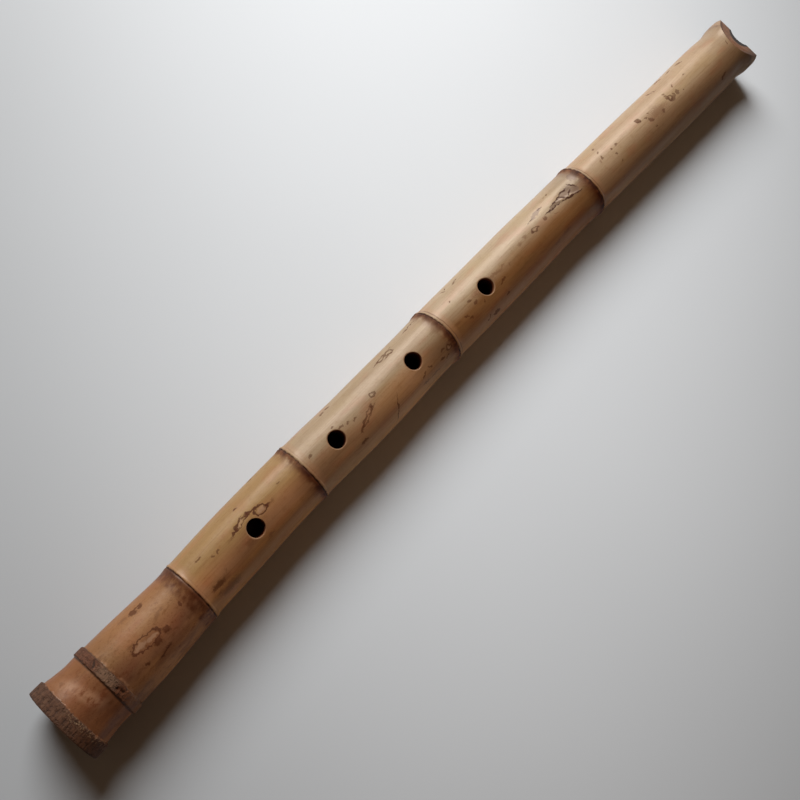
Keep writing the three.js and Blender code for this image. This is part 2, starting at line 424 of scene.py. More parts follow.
# The finishes of the culm
# Bamboo skin rubbed with oil: straw to olive brown, redder at the root, with purple-brown smudges
# below the nodes and brown flecks, curls and leaf-shaped scars. The stubs are filed and rough.
class Shade:
    """A socket of a material's nodes. Sums on it are written as plain expressions."""

    def __init__(self, tree, socket=None):
        self.tree = tree
        self.socket = socket

    def node(self, kind, settings, inputs, output=0):
        """Adds a node: its settings first, then the values or links of its sockets."""
        node = self.tree.nodes.new(kind)
        for name, value in settings.items():
            if name == "stops":
                set_stops(node.color_ramp, value)
            else:
                setattr(node, name, value)
        for name, value in inputs.items():
            if isinstance(value, Shade):
                self.tree.links.new(value.socket, node.inputs[name])
            else:
                node.inputs[name].default_value = value
        return Shade(self.tree, node.outputs[output])

    def sum(self, operation, first, second=0.0):
        return self.node("ShaderNodeMath", {"operation": operation}, {0: first, 1: second})

    def __add__(self, other):
        return self.sum("ADD", self, other)

    def __radd__(self, other):
        return self.sum("ADD", other, self)

    def __sub__(self, other):
        return self.sum("SUBTRACT", self, other)

    def __rsub__(self, other):
        return self.sum("SUBTRACT", other, self)

    def __mul__(self, other):
        return self.sum("MULTIPLY", self, other)

    def __rmul__(self, other):
        return self.sum("MULTIPLY", other, self)

    def __truediv__(self, other):
        return self.sum("DIVIDE", self, other)

    def least(self, other):
        return self.sum("MINIMUM", self, other)

    def most(self, other):
        return self.sum("MAXIMUM", self, other)

    def size(self):
        """This value without its sign."""
        return self.sum("ABSOLUTE", self)

    def root(self):
        return self.sum("SQRT", self)

    def fade(self, start, end):
        """0 below start and 1 above end, or the other way round if end is the lower one."""
        limits = {"Value": self, "From Min": start, "From Max": end}
        return self.node("ShaderNodeMapRange", {"interpolation_type": "SMOOTHSTEP"}, limits)

    def between(self, low, high, soft):
        """1 from low to high, with soft edges."""
        return self.fade(low - soft, low + soft) * self.fade(high + soft, high - soft)

    def part(self, number):
        """The first, second or third number of this place."""
        return self.node("ShaderNodeSeparateXYZ", {}, {0: self}, number)

    def stretched(self, scale):
        return self.node("ShaderNodeVectorMath", {"operation": "MULTIPLY"}, {0: self, 1: scale})

    def noise(self, scale, detail=2.0, rough=0.5):
        """Soft noise from 0 to 1 over this place."""
        return self.node(
            "ShaderNodeTexNoise", {}, {"Vector": self, "Scale": scale, "Detail": detail, "Roughness": rough}
        )

    def coloured(self, stops):
        """The colour at this place on a scale of colours."""
        return self.node("ShaderNodeValToRGB", {"stops": stops}, {0: self})

    def painted(self, colour, share, blend="MIX"):
        """This colour with another laid over it by a share."""
        return self.node(
            "ShaderNodeMix", {"data_type": "RGBA", "blend_type": blend}, {0: share, 6: self, 7: colour}, 2
        )

    def tinted(self, tint, share):
        """This colour times a tint, by a share."""
        return self.painted((*tint, 1), share, "MULTIPLY")


def set_stops(ramp, stops):
    """Gives a scale of colours its places and colours."""
    while len(ramp.elements) > 1:
        ramp.elements.remove(ramp.elements[-1])
    ramp.elements[0].position, ramp.elements[0].color = stops[0]
    for place, colour in stops[1:]:
        ramp.elements.new(place).color = colour


def tone(red, green, blue):
    """A colour as it is seen, 0 to 255, as the light that it sends back."""
    parts = [value / 255 for value in (red, green, blue)]
    light = [part / 12.92 if part <= 0.04045 else ((part + 0.055) / 1.055) ** 2.4 for part in parts]
    return (*light, 1)


def new_finish(name):
    """A new material: itself, its nodes to write sums on, and its shader."""
    material = bpy.data.materials.new(name)
    material.use_nodes = True
    tree = material.node_tree
    return material, Shade(tree), tree.nodes["Principled BSDF"]


def feed(shader, inputs):
    """Links or sets the shader's sockets."""
    tree = shader.id_data
    for name, value in inputs.items():
        if isinstance(value, Shade):
            tree.links.new(value.socket, shader.inputs[name])
        else:
            shader.inputs[name].default_value = value


def bumped(sums, height):
    """The normal of a surface raised by a height in millimetres."""
    return sums.node("ShaderNodeBump", {}, {"Distance": mm, "Strength": 1.0, "Height": height})


# The marks that the skin grew with: millimetres from the root end, degrees round from the front
# towards +Y, tilt in degrees, half length and half width in millimetres
dark_marks = [
    (54.6, 49, 0, 2.0, 1.3), (58.9, 48, 0, 1.3, 1.0), (57, 53, 0, 3.4, 0.4), (53.3, -13, 0, 2.0, 1.4),
    (59.4, -10, 10, 1.6, 1.4), (43.3, -26, 0, 1.0, 0.8), (53, -33, 12, 4.0, 0.5), (71.8, 1, 0, 0.9, 0.8),
    (90.5, -27.5, 0, 3.4, 1.2), (92.2, 27, 0, 1.3, 0.4), (98, 12, 0, 0.8, 0.3), (101.5, 11, 0, 1.2, 0.5),
    (122.1, 42, 0, 0.9, 0.5), (138.1, 78, 0, 1.8, 0.7), (145.2, 18, 0, 1.1, 0.5), (114, 13, 8, 2.4, 0.5),
    (125, 17.5, -4, 4.0, 0.5), (134, 6, -10, 1.5, 0.6), (117.5, 20, 15, 3.0, 0.4), (166, 10, 0, 0.9, 0.6),
    (184.2, 20, 0, 1.0, 0.4), (187, 60, 0, 1.5, 0.7), (191, 62, -20, 1.2, 0.6), (187.5, 9, -8, 1.6, 0.5),
    (191.5, 7, 0, 1.2, 0.5), (195.5, 3, 0, 1.2, 0.4), (194.5, -20, 25, 1.8, 0.6),
    (199, -12, 28, 2.6, 0.5), (205, -6, 18, 2.8, 0.6), (192, -40, 0, 2.2, 0.8), (216, -46, 62, 7.5, 0.3),
    (226, 50, 10, 2.4, 0.4), (233.5, 55, 0, 4.0, 0.4), (233, 43, 0, 3.0, 0.5), (253, 62, 6, 5.0, 0.4),
    (238.5, -34, 35, 2.0, 0.5), (243.5, -31, -30, 1.3, 0.5), (255, -26, 0, 1.4, 0.6),
    (252, -40, 0, 1.4, 0.5), (256, -44, 30, 1.2, 0.4), (281.5, 60, -40, 1.2, 0.5),
    (284, 62, 50, 1.3, 0.4), (289.4, 56, 20, 1.4, 0.5), (292, 60, 0, 1.0, 0.4), (277.2, 30, 0, 0.5, 0.4),
    (284.3, 3, -30, 1.1, 0.6), (286.7, -7, 0, 1.0, 1.0), (277.7, -14, -20, 1.3, 0.7),
    (279.5, -22, 0, 1.3, 0.7), (291.5, -17, 60, 1.0, 0.4), (307.1, -15, 20, 2.0, 0.4),
    (309.5, -12, -40, 0.8, 0.4), (289.4, -52, 40, 1.6, 0.4), (295, -55, 0, 2.6, 0.9),
    (306.5, -42, 0, 1.2, 0.5), (341.6, 8.5, 0, 1.2, 0.5), (353.5, 11, 0, 1.0, 1.0),
    (368, 48, 0, 0.9, 0.6), (365, 47, 0, 0.7, 0.3), (411.6, 50, 0, 0.9, 0.6), (410, 34, 40, 1.1, 0.4),
    (408.5, 19, 60, 1.3, 0.5), (416.9, 18, 0, 0.5, 0.4), (421, 20, 0, 0.9, 0.9), (416.8, 5, 0, 0.8, 0.6),
    (416.5, -14, 30, 1.0, 0.4), (443, 21, 0, 0.9, 1.3), (448, 15, -20, 0.9, 0.8), (449.3, 6, 0, 1.2, 1.0),
    (450.2, 2, 30, 1.1, 0.8), (452, 20, 0, 0.5, 0.4), (449.5, -12, 0, 0.6, 0.5), (460.1, 1, 0, 1.3, 0.9),
    (468.9, 26, 0, 0.8, 0.4), (468.5, 13, 0, 0.8, 2.0), (471.5, 6, 25, 2.2, 1.1),
    (473.5, 10, 0, 0.8, 1.1), (476.4, 9, -20, 1.1, 1.5), (477.5, 25, 40, 1.0, 0.5), (481, 4, 0, 0.5, 0.5),
    (489.5, 26, 0, 0.6, 0.4), (466, 55, -50, 1.6, 0.4), (469, 51, -50, 1.4, 0.4),
    (480, 70, -10, 3.0, 0.7), (489, 65, 0, 2.2, 0.5), (497.6, 59, -20, 2.2, 0.7),
    (511, -39, 28, 2.8, 0.8), (528, 12, 60, 1.4, 0.3), (531, -2, 40, 1.4, 0.3), (61, 130, 0, 4.2, 1.8),
    (97, 175, 12, 5.5, 0.9), (128, -128, 0, 2.0, 1.3), (141, 150, 30, 3.0, 0.5), (176, -160, 0, 1.6, 1.0),
    (203, 118, -15, 4.5, 0.8), (219, -105, 0, 1.8, 1.2), (246, 168, 0, 2.2, 1.4),
    (301, 140, 22, 3.6, 0.6), (318, -118, 0, 2.0, 0.9), (352, -150, -10, 5.0, 1.0),
    (371, 110, 0, 1.2, 1.0), (407, -130, 0, 2.5, 0.7), (436, 155, 40, 2.2, 0.6), (455, -95, 0, 1.3, 1.1),
    (483, 125, 0, 3.2, 0.9), (506, -165, 15, 2.4, 1.2),
]
faint_marks = [
    (93, -27, 0, 6.2, 2.2), (97.5, -19, 50, 2.0, 0.6), (95, -46, 0, 7.5, 2.6), (89, -40, 20, 2.5, 0.9),
    (115.1, -16, 0, 2.6, 1.8), (126.1, -35, 0, 2.4, 1.2), (132, 4, -6, 4.0, 1.2),
    (136.5, 5, 10, 2.6, 0.7), (110.5, 9, 0, 2.2, 0.8), (121, -21, 10, 3.0, 0.7), (12.5, 45, 20, 1.4, 0.8),
    (61, 15, 25, 4.0, 1.0), (64, 18, 0, 1.6, 0.9), (43, 8, 0, 2.0, 1.6), (245, -52, 0, 4.5, 0.8),
    (238, -50, 0, 3.2, 0.7), (270.9, -12, 0, 2.4, 1.2), (317.3, -2, 40, 1.3, 0.6),
    (330.7, 10, 0, 1.8, 1.2), (336.3, 13, 0, 1.8, 1.2), (297, 3, 0, 9, 3.4), (307, 4, -6, 7, 1.0),
    (313, 4, 10, 3, 0.6), (361, 3, -30, 1.6, 0.5), (406, 17, 60, 1.8, 0.7), (457, 8, 0, 9, 3.5),
    (360, -40, 0, 4, 1.2), (351, -44, 0, 2.5, 0.9), (72, -24, 0, 2.6, 1.2), (49, 52, 0, 3, 1.4),
    (110, -150, 0, 14, 4), (190, 135, 0, 16, 3.5), (290, 178, 0, 18, 4), (420, -110, 0, 12, 3),
    (470, 150, 0, 15, 4),
]
ring_marks = [
    (49.4, -1.5, -3, 8.0, 2.5), (119.5, 16.5, 10, 5.6, 0.9), (130.4, 7.5, -14, 3.6, 2.0),
    (201, -10, 24, 5.5, 1.1), (210.6, 11, 0, 1.3, 1.1), (258.8, -31, 0, 1.7, 1.2),
    (229.5, 50, 8, 2.6, 0.9), (234.5, 48, -10, 2.4, 1.1), (344.2, 8.5, 0, 2.6, 1.0),
    (443, 23, 0, 1.2, 1.2), (469.6, 11, 20, 1.8, 1.5),
]
pale_marks = [
    (46.2, -0.5, 0, 3.8, 1.7), (52.6, -2.5, 0, 3.8, 1.0), (118.5, 16.5, 10, 4.2, 0.5),
    (130.4, 7.5, -14, 2.8, 1.4), (370.2, 14, -40, 2.4, 0.28), (377, 5.5, -12, 5.4, 0.3),
    (258.8, -31, 0, 0.9, 0.6), (344.4, 8.5, 0, 1.3, 0.4),
]
grey_marks = [
    (352.2, 31, 12, 6.2, 1.5), (366, 17, 8, 8.5, 1.5), (375, 19, 12, 6.0, 2.6), (380, 12, -25, 3.5, 2.6),
    (388, 35, 0, 5, 3),
]
scar_edges = [
    (362, 13.5, -4, 8.0, 0.45), (374, 6.5, -10, 6.0, 0.5), (381, 2, -14, 3.6, 0.6),
    (369, 22.5, 10, 8.5, 0.4), (374.5, 26, 4, 3.5, 0.9), (371, 18, -45, 2.6, 0.5),
    (377, 14, 30, 3.0, 0.6), (381.5, 21, -60, 3.4, 0.5), (347, 28, 6, 3.0, 0.4), (357, 33.5, 0, 2.0, 0.4),
]
pit_marks = [(26.6, -16, 0, 0.6, 0.7), (27.6, -27, 0, 0.8, 0.6), (27.0, 29, 35, 1.9, 0.6)]


def away_from(mark, along, arc, held):
    """How far a place is from a mark's middle: 1 on its rim. held is the nearest one so far. It goes
    through the same nodes, divided by a huge scale, so that the marks are worked out one by one."""
    place, around, tilt, half_length, half_width = mark
    fitted = along.node(
        "ShaderNodeMapping",
        {"vector_type": "TEXTURE"},
        {
            "Vector": along.node("ShaderNodeCombineXYZ", {}, {0: along, 1: arc, 2: held}),
            "Location": (place, radians(around) * culm_radius / mm, 0),
            "Rotation": (0, 0, radians(tilt)),
            "Scale": (half_length, half_width, 1e7),
        },
    )
    return fitted.node("ShaderNodeVectorMath", {"operation": "LENGTH"}, {0: fitted}, 1)


def nearest_mark(along, arc, marks):
    """How far a place is from the nearest mark's middle: 1 on its rim."""
    nearest = 9.0
    for mark in marks:
        nearest = away_from(mark, along, arc, nearest).least(nearest)
    return nearest


def nearest_ring(along, arc, marks):
    """How far a place is from the outline of the nearest ring mark, in millimetres."""
    nearest = 9.0
    for mark in marks:
        line_scale = 0.75 * mark[4] + 0.25 * mark[3]
        nearest = ((away_from(mark, along, arc, nearest) - 1).size() * line_scale).least(nearest)
    return nearest


def straight_place(sums):
    """Where a point was on the straight culm, in millimetres."""
    return sums.node("ShaderNodeAttribute", {"attribute_name": "straight"}, {}, 1)


def skin_fields(sums):
    """The places on the skin, and the noises that its colours share."""
    straight = straight_place(sums)
    along = straight.part(0)
    angle = sums.sum("ARCTAN2", straight.part(1), straight.part(2))
    aside = straight.node("ShaderNodeVectorMath", {"operation": "ADD"}, {0: straight, 1: (40, 7, 3)})
    return SimpleNamespace(
        straight=straight,
        along=along,
        angle=angle,
        arc=angle * (culm_radius / mm),
        drift=angle + (straight.stretched((0.3, 1, 1)).noise(0.1, 2) - 0.5) * 0.4,
        near_root=along.fade(82, 74),
        clouds=straight.stretched((0.35, 1, 1)).noise(0.11, 3),
        pink=aside.stretched((0.4, 1, 1)).noise(0.16, 3),
        fibres=straight.stretched((0.03, 1, 1)).noise(1.2, 4, 0.65),
        mottle=straight.stretched((0.6, 1, 1)).noise(0.4, 4, 0.65),
    )


# The ground colour of each stretch between two nodes, redder at the root: its tone on the side towards +Y,
# made paler with painted light, and the darker one in front, with painted shade
stretch_tones = [
    ((126, 81, 50), (113, 68, 42)),
    ((147, 103, 65), (128, 82, 54)),
    ((151, 115, 71), (136, 92, 60)),
    ((157, 131, 102), (136, 97, 66)),
    ((165, 139, 109), (131, 87, 50)),
    ((164, 134, 103), (131, 96, 66)),
]
stretch_ends = [0, second_band["place"]] + [node["place"] for node in nodes[:4]] + [flute_length]
tone_blend = 3 * mm

# Where the front's tone, with its painted shade, is made lighter or darker, and where the whole skin darkens
# towards a node or the mouth: where it begins, is strongest and ends, in millimetres from the root end, and
# how much light is left there
front_relit_places = [
    (48, 62, 76, 1.19), (80, 84, 115, 1.5), (115, 145, 157, 1.3), (163, 230, 250, 1.55),
    (244, 257, 262, 0.81), (391, 397, 440, 1.13),
]
darkened_places = [(24, 31, 46, 0.78), (62, 76, 80, 0.87), (362, 386, 391, 0.77), (505, 545, 590, 0.72)]


def stretch_stops(side):
    """The stretches' tones from the root end to the mouth, with short blends at the nodes."""
    stops = []
    for start, end, tones in zip(stretch_ends, stretch_ends[1:], stretch_tones):
        for place in (start + tone_blend, end - tone_blend):
            stops.append((place / flute_length, tone(*tones[side])))
    return stops


def relit(colour, along, places):
    """This colour, lighter or darker at some places along the culm."""
    for begin, peak, end, light in places:
        colour = colour.tinted((light, light, light), along.fade(begin, peak) * along.fade(end, peak))
    return colour


def ground_colour(skin):
    """The oiled bamboo without its marks, with painted light: paler on the lit side, darker in front, a
    painted warm bounce in the shade, a painted sheen and a painted bounce from the table on the lower side.
    """
    along, angle, drift = skin.along, skin.angle, skin.drift
    length_mm = flute_length / mm
    waver = (skin.straight.noise(0.12, 2) - 0.5) * 9
    place = (along + waver * along.fade(60, 90)) / length_mm
    side, front = [place.coloured(stretch_stops(side)) for side in (0, 1)]
    front = relit(front, along, front_relit_places)
    # How much of the paler lit-side tone is used: painted light on the side towards +Y, and painted bounce
    # light on the shade side below it
    paler = along.fade(380, 400) * 0.14 + along.between(163, 258, 4) * 0.09
    painted_light_share = (drift + paler).fade(-0.2, 0.38) * (1 - drift.fade(1.4, 2.4) * 0.55)
    below = along.fade(430, 120) * 0.55
    painted_light_share = painted_light_share + drift.fade(-0.4, -0.8) * (below + drift.fade(-1.5, -2.6) * (0.45 - below))
    colour = relit(front.painted(side, painted_light_share), along, darkened_places)
    not_behind = drift.fade(-2.8, -1.9)
    # Painted warm bounce light on the shade side, and more of it near the root
    warm_painted_bounce = drift.fade(-0.35, -0.8) * not_behind * along.fade(540, 250)
    colour = colour.tinted((1.34, 1.12, 0.86), warm_painted_bounce)
    colour = colour.tinted((1.25, 1.4, 1.5), drift.fade(-0.1, -0.75) * not_behind * along.fade(88, 76))
    # Painted light: the side that faces the lamp is made lighter
    colour = colour.tinted((1.15, 1.17, 1.2), angle.between(0.93, 1.9, 0.2))
    # A painted sheen: a paler band 15 to 25 degrees towards +Y along the middle stretches
    painted_sheen_band = angle.between(0.27, 0.43, 0.1) * along.between(163, 258, 4)
    colour = colour.tinted((1.18, 1.19, 1.28), painted_sheen_band)
    # Painted bounce light from the table: the lower side is made paler
    painted_floor_bounce = angle.fade(-0.72, -1.0) * angle.fade(-2.5, -1.7)
    return colour.tinted((1.4, 1.52, 1.43), painted_floor_bounce)


def grown_colour(skin, colour):
    """Clouds of olive and of pink, long fibres, and fine speckles over the ground colour."""
    near_root, fibres = skin.near_root, skin.fibres
    speckle = skin.straight.stretched((0.7, 1, 1)).noise(1.9, 3, 0.6)
    colour = colour.tinted((0.98, 0.96, 0.74), skin.clouds.fade(0.48, 0.7) * 0.35)
    colour = colour.tinted((1.0, 0.84, 0.82), skin.pink.fade(0.5, 0.7) * 0.7)
    colour = colour.tinted((0.76, 0.68, 0.56), fibres.fade(0.5, 0.7) * (0.6 - near_root * 0.3))
    colour = colour.tinted((1.16, 1.16, 1.14), fibres.fade(0.48, 0.3) * 0.6)
    colour = colour.tinted((0.74, 0.64, 0.52), skin.mottle.fade(0.52, 0.7) * (0.35 + near_root * 0.55))
    return colour.tinted((0.7, 0.58, 0.46), speckle.fade(0.54, 0.68) * (0.35 + near_root * 0.5))


def root_colour(skin, colour):
    """The neck and the root stretch: orange at the side, a pale slanting patch in front, red below."""
    along, angle, mottle = skin.along, skin.angle, skin.mottle
    orange = angle.between(0.75, 1.9, 0.35) * skin.near_root
    colour = colour.painted(tone(142, 88, 42), orange * 0.35)
    slant = along - 12.5 - (0.8 - angle) * 5.0
    patch = slant.size().fade(4.6, 0.4) * angle.between(-0.35, 0.85, 0.25) * mottle.fade(0.64, 0.4)
    colour = colour.painted(tone(170, 124, 92), patch * 0.55)
    red_shade = angle.between(-2.4, -0.3, 0.35) * skin.near_root
    colour = colour.painted(tone(78, 38, 24), red_shade * (0.05 + skin.pink.fade(0.4, 0.6) * 0.35))
    collar = along.between(73.0, 80.2, 1.6) * (0.35 + mottle.fade(0.42, 0.6) * 0.4)
    colour = colour.tinted((0.56, 0.42, 0.34), collar * 1.3)
    lip = along.between(30.1, 31.2, 0.5) * angle.between(-1.2, 0.6, 0.3) * mottle.fade(0.6, 0.4)
    return colour.painted(tone(168, 120, 88), lip * 0.5)


def marked(skin, colour):
    """The skin with its marks, drawn a little unevenly, and the share of dark ones at each place."""
    straight, along = skin.straight, skin.along
    shiver = straight.node("ShaderNodeTexNoise", {}, {"Vector": straight, "Scale": 0.5, "Detail": 1.0}, 1)
    near = (along + (shiver.part(0) - 0.5) * 2.6, skin.arc + (shiver.part(1) - 0.5) * 2.6)
    grit = straight.noise(1.6, 3, 0.6) - 0.5
    dark = (nearest_mark(*near, dark_marks) + grit * 1.1).fade(1.45, 0.85)
    faint = (nearest_mark(*near, faint_marks) + grit * 1.8).fade(1.3, 0.3)
    outline = (nearest_ring(*near, ring_marks) + grit * 0.6).fade(0.6, 0.25)
    pale = (nearest_mark(*near, pale_marks) + grit * 0.5).fade(1.1, 0.6)
    grey = (nearest_mark(*near, grey_marks) + grit * 0.5).fade(1.1, 0.75)
    scar = (nearest_mark(*near, scar_edges) + grit * 0.6).fade(1.15, 0.6)
    flecks = straight.stretched((0.6, 1, 1)).noise(1.1, 2).fade(0.73, 0.8)
    strong = 0.64 + along.fade(80, 70) * 0.14 + along.between(110, 136, 2) * 0.25
    colour = colour.painted(tone(104, 62, 34), faint * 0.5)
    colour = colour.painted(tone(112, 86, 70), grey * 0.7)
    colour = colour.painted(tone(182, 142, 112), pale * 0.42)
    colour = colour.painted(tone(72, 30, 9), outline * strong)
    colour = colour.painted(tone(78, 34, 9), dark * strong)
    colour = colour.painted(tone(60, 22, 8), scar * 0.92)
    colour = colour.painted(tone(98, 58, 28), flecks * 0.4)
    return colour, dark.most(scar).most(outline)


def ringed(skin, colour):
    """Each node's smudge, dark groove, painted highlight on the ridge past it and thin second line, and where
    they are.
    """
    straight = skin.straight
    stained = 0.0
    for number, node in enumerate(nodes):
        past = skin.along - node["place"] / mm + (straight.noise(0.5, 2) - 0.5) * 1.1
        uneven = straight.stretched((0.6, 1, 1)).noise(0.22 + 0.02 * number, 3, 0.6)
        soaked = (uneven * 2.6 + past.fade(-4, 0) * 0.7 + node["stain"] - 0.85).fade(0.05, 0.7)
        smudge = past.fade(-node["reach"], -0.5) * past.fade(0.6, 0.0) * soaked * node["smudge"]
        colour = colour.tinted((0.42, 0.22, 0.13), smudge)
        edge = past.fade(-3.6, -0.6) * past.fade(0.5, 0.1) * (uneven * 3 - 1.0).fade(0.1, 0.7)
        colour = colour.tinted((0.36, 0.2, 0.12), edge * node["smudge"])
        # A painted highlight: the ridge just past the node is painted pale
        colour = colour.painted(tone(168, 118, 84), past.between(0.6, 5.0, 1.2) * 0.22)
        second = (past - 2.1).size().fade(0.55, 0.15) * node["second_line"]
        colour = colour.painted(tone(92, 56, 34), second * 0.6)
        groove = (past - 0.05).size().fade(0.75, 0.2) if node["rise"] else past.between(-1.2, -0.4, 0.4) * 0.4
        dirt = 0.3 + straight.noise(0.35, 2).fade(0.38, 0.62) * 0.65
        colour = colour.painted(tone(50, 20, 7), groove * dirt)
        stained = groove.most(smudge).most(stained)
    return colour, stained


def banded(skin, colour):
    """The bands of root stubs, filed grey-brown wood with dirty crevices: colour, share and relief."""
    straight, along, angle = skin.straight, skin.along, skin.angle
    root_top = root_band["end"] / mm
    start, end = second_band["start"] / mm, second_band["end"] / mm
    ragged = (straight.noise(0.6, 2) - 0.5) * 1.4
    first = (along + ragged).fade(root_top + 0.5, root_top - 0.3)
    second = (along + ragged * 0.5).between(start + 0.1, end - 0.1, 0.25)
    second = second * (1 - angle.between(-1.6, -0.6, 0.25) * 0.55)
    band = first.most(second)
    strands = straight.stretched((0.14, 1, 1)).noise(1.1, 3, 0.65)
    chips = straight.stretched((1, 0.7, 0.7)).noise(0.8, 3, 0.6)
    stubs = strands.coloured([
        (0.3, tone(62, 38, 27)),
        (0.46, tone(80, 51, 36)),
        (0.58, tone(90, 60, 43)),
        (0.72, tone(103, 71, 52)),
    ])
    stubs = stubs.tinted((1.3, 1.1, 1.0), second)
    # Painted bounce light: the stubs are made lighter on their shade side
    stubs = stubs.tinted((1.4, 1.35, 1.25), angle.between(-2.4, -0.4, 0.3))
    stubs = stubs.painted(tone(124, 98, 76), second * angle.between(-0.25, 0.35, 0.15) * 0.5)
    stubs = stubs.tinted((0.55, 0.5, 0.46), chips.fade(0.55, 0.7) * 0.8)
    stubs = stubs.tinted((1.3, 1.25, 1.2), chips.fade(0.45, 0.3) * 0.8)
    knobs = straight.noise(1.1, 1).fade(0.54, 0.62) * along.between(root_top - 2.7, root_top + 0.3, 0.5)
    stubs = stubs.painted(tone(150, 116, 86), knobs * angle.between(-2.2, 0.05, 0.25) * 0.75)
    colour = colour.painted(stubs, band)
    rim = along.between(-1, 0.55, 0.25).most((along + ragged * 0.5).between(start - 0.8, start + 0.3, 0.3))
    rim = rim.most((along + ragged).between(end - 0.5, end + 0.3, 0.35) * 0.8)
    colour = colour.painted(tone(60, 36, 24), rim * 0.65)
    pits = nearest_mark(along, skin.arc, pit_marks).fade(1.1, 0.7)
    colour = colour.painted(tone(34, 22, 16), pits * 0.8)
    return colour, band, band * (strands * 0.4 - chips.fade(0.5, 0.65) * 0.3)


def skin_finish():
    """The oiled skin of the culm, with its bands of root stubs."""
    material, sums, shader = new_finish("bamboo_skin")
    skin = skin_fields(sums)
    colour = root_colour(skin, grown_colour(skin, ground_colour(skin)))
    colour, marks = marked(skin, colour)
    colour, stained = ringed(skin, colour)
    colour, band, relief = banded(skin, colour)
    fine_fibres = skin.straight.stretched((0.05, 1, 1)).noise(4.0, 3, 0.6)
    height = skin.fibres * 0.04 + fine_fibres * 0.012 + relief + skin.straight.noise(0.4, 3) * 0.08
    dull = marks.most(stained).most(band)
    rough = (0.36 + 0.10 * skin.clouds + skin.drift.between(-2.4, -1.0, 0.3) * 0.3).most(dull * 0.8)
    feed(shader, {"Base Color": colour, "Roughness": rough, "Normal": bumped(sums, height)})
    shader.inputs["Specular IOR Level"].default_value = 0.36
    return material


def outwards_of(straight):
    """How far a place is from the culm's centre line, in millimetres."""
    across, up = straight.part(1), straight.part(2)
    return (across * across + up * up).root()


def cut_finish():
    """Bare cut bamboo on the ends, the bevel and the pocket of the inlay: dark dots of fibre in straw."""
    material, sums, shader = new_finish("cut_bamboo")
    straight = straight_place(sums)
    drawn_out = straight.stretched((0.12, 1, 1))
    dots = drawn_out.node("ShaderNodeTexVoronoi", {}, {"Vector": drawn_out, "Scale": 1.5, "Randomness": 0.8})
    fibres = dots.fade(0.34, 0.16)
    clouds = straight.noise(0.3, 3)
    colour = clouds.coloured([(0.3, tone(112, 74, 52)), (0.7, tone(144, 100, 72))])
    colour = colour.painted(tone(92, 58, 38), fibres * 0.5)
    # Painted shade: the cut faces are darker towards -Y, the shaded side
    colour = colour.painted(tone(62, 40, 26), straight.part(1).fade(-7, -13) * 0.75)
    colour = colour.painted(tone(78, 48, 32), outwards_of(straight).fade(15.6, 16.7) * 0.75)
    feed(shader, {
        "Base Color": colour,
        "Roughness": 0.5 + fibres * 0.15,
        "Normal": bumped(sums, fibres * -0.08 + clouds * 0.05),
    })
    return material


def lacquer_finish():
    """Dark red-brown lacquer, brushed on and polished."""
    material, sums, shader = new_finish("bore_lacquer")
    place = sums.node("ShaderNodeTexCoord", {}, {}, 3)
    clouds = place.noise(180, 3)
    brush = place.stretched((0.05, 1, 1)).noise(900, 2)
    feed(shader, {
        "Base Color": clouds.coloured([(0.3, tone(46, 18, 12)), (0.7, tone(78, 30, 20))]),
        "Roughness": 0.22 + clouds * 0.16,
        "Normal": bumped(sums, brush * 0.02),
    })
    return material


def hole_finish():
    """The walls of the holes: brown bamboo at the skin, stained with lacquer towards the bore."""
    material, sums, shader = new_finish("hole_wall")
    straight = straight_place(sums)
    outwards = outwards_of(straight)
    grain = straight.stretched((0.1, 1, 1)).noise(2.2, 3)
    colour = grain.coloured([(0.3, tone(40, 16, 10)), (0.7, tone(66, 28, 18))])
    colour = colour.painted(tone(150, 92, 62), outwards.fade(12.8, 15.6) * (0.55 + grain * 0.5))
    colour = colour.painted(tone(150, 112, 82), outwards.fade(15.9, 16.2))
    feed(shader, {
        "Base Color": colour,
        "Roughness": 0.26 + grain * 0.2,
        "Normal": bumped(sums, grain * 0.08),
    })
    return material


bamboo_skin = skin_finish()
cut_bamboo = cut_finish()
hole_wall = hole_finish()

# The culm itself is turned, bent to its line and cut
culm = revolve("bamboo_culm", [(along, culm_radius) for along in culm_stations()], culm_sides)
lay_along_flute(culm, culm_surface)
culm.data.materials.append(bamboo_skin)
lined_bore = bore_outline(-overrun, inlay_seat, lining_thickness)
bare_end = bore_outline(inlay_seat, flute_length + overrun, 0)
bore_cutter = revolve("bore_cutter", lined_bore + bare_end, 96)
lay_along_flute(bore_cutter)
bore_cutter.data.materials.append(hole_wall)
hole_cutters = [
    hole_cutter(f"hole_cutter_{number}", share, turn)
    for number, (share, turn) in enumerate(zip(hole_shares, hole_turns), 1)
]
hole_cutters.append(hole_cutter("thumb_hole_cutter", thumb_hole_share, 180))
bevel = bevel_cutter()
pocket = inlay_bar("pocket_cutter", inlay_seat, flute_length + overrun, 0)
pocket.data.materials.append(cut_bamboo)
cut(culm, [bore_cutter, *hole_cutters, pocket, bevel])
culm_points = points_of(culm)
for face in culm.data.polygons:
    ends = [abs(culm_points[i][0] - root_end) < 0.01 * mm for i in face.vertices]
    mouths = [abs(culm_points[i][0] - root_end - flute_length) < 0.01 * mm for i in face.vertices]
    if all(ends) or all(mouths):
        face.material_index = culm.data.materials.find("cut_bamboo")
give_smooth_faces(culm, 38)
keep_straight_places(culm)
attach(culm, "root")
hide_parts("culm_body")

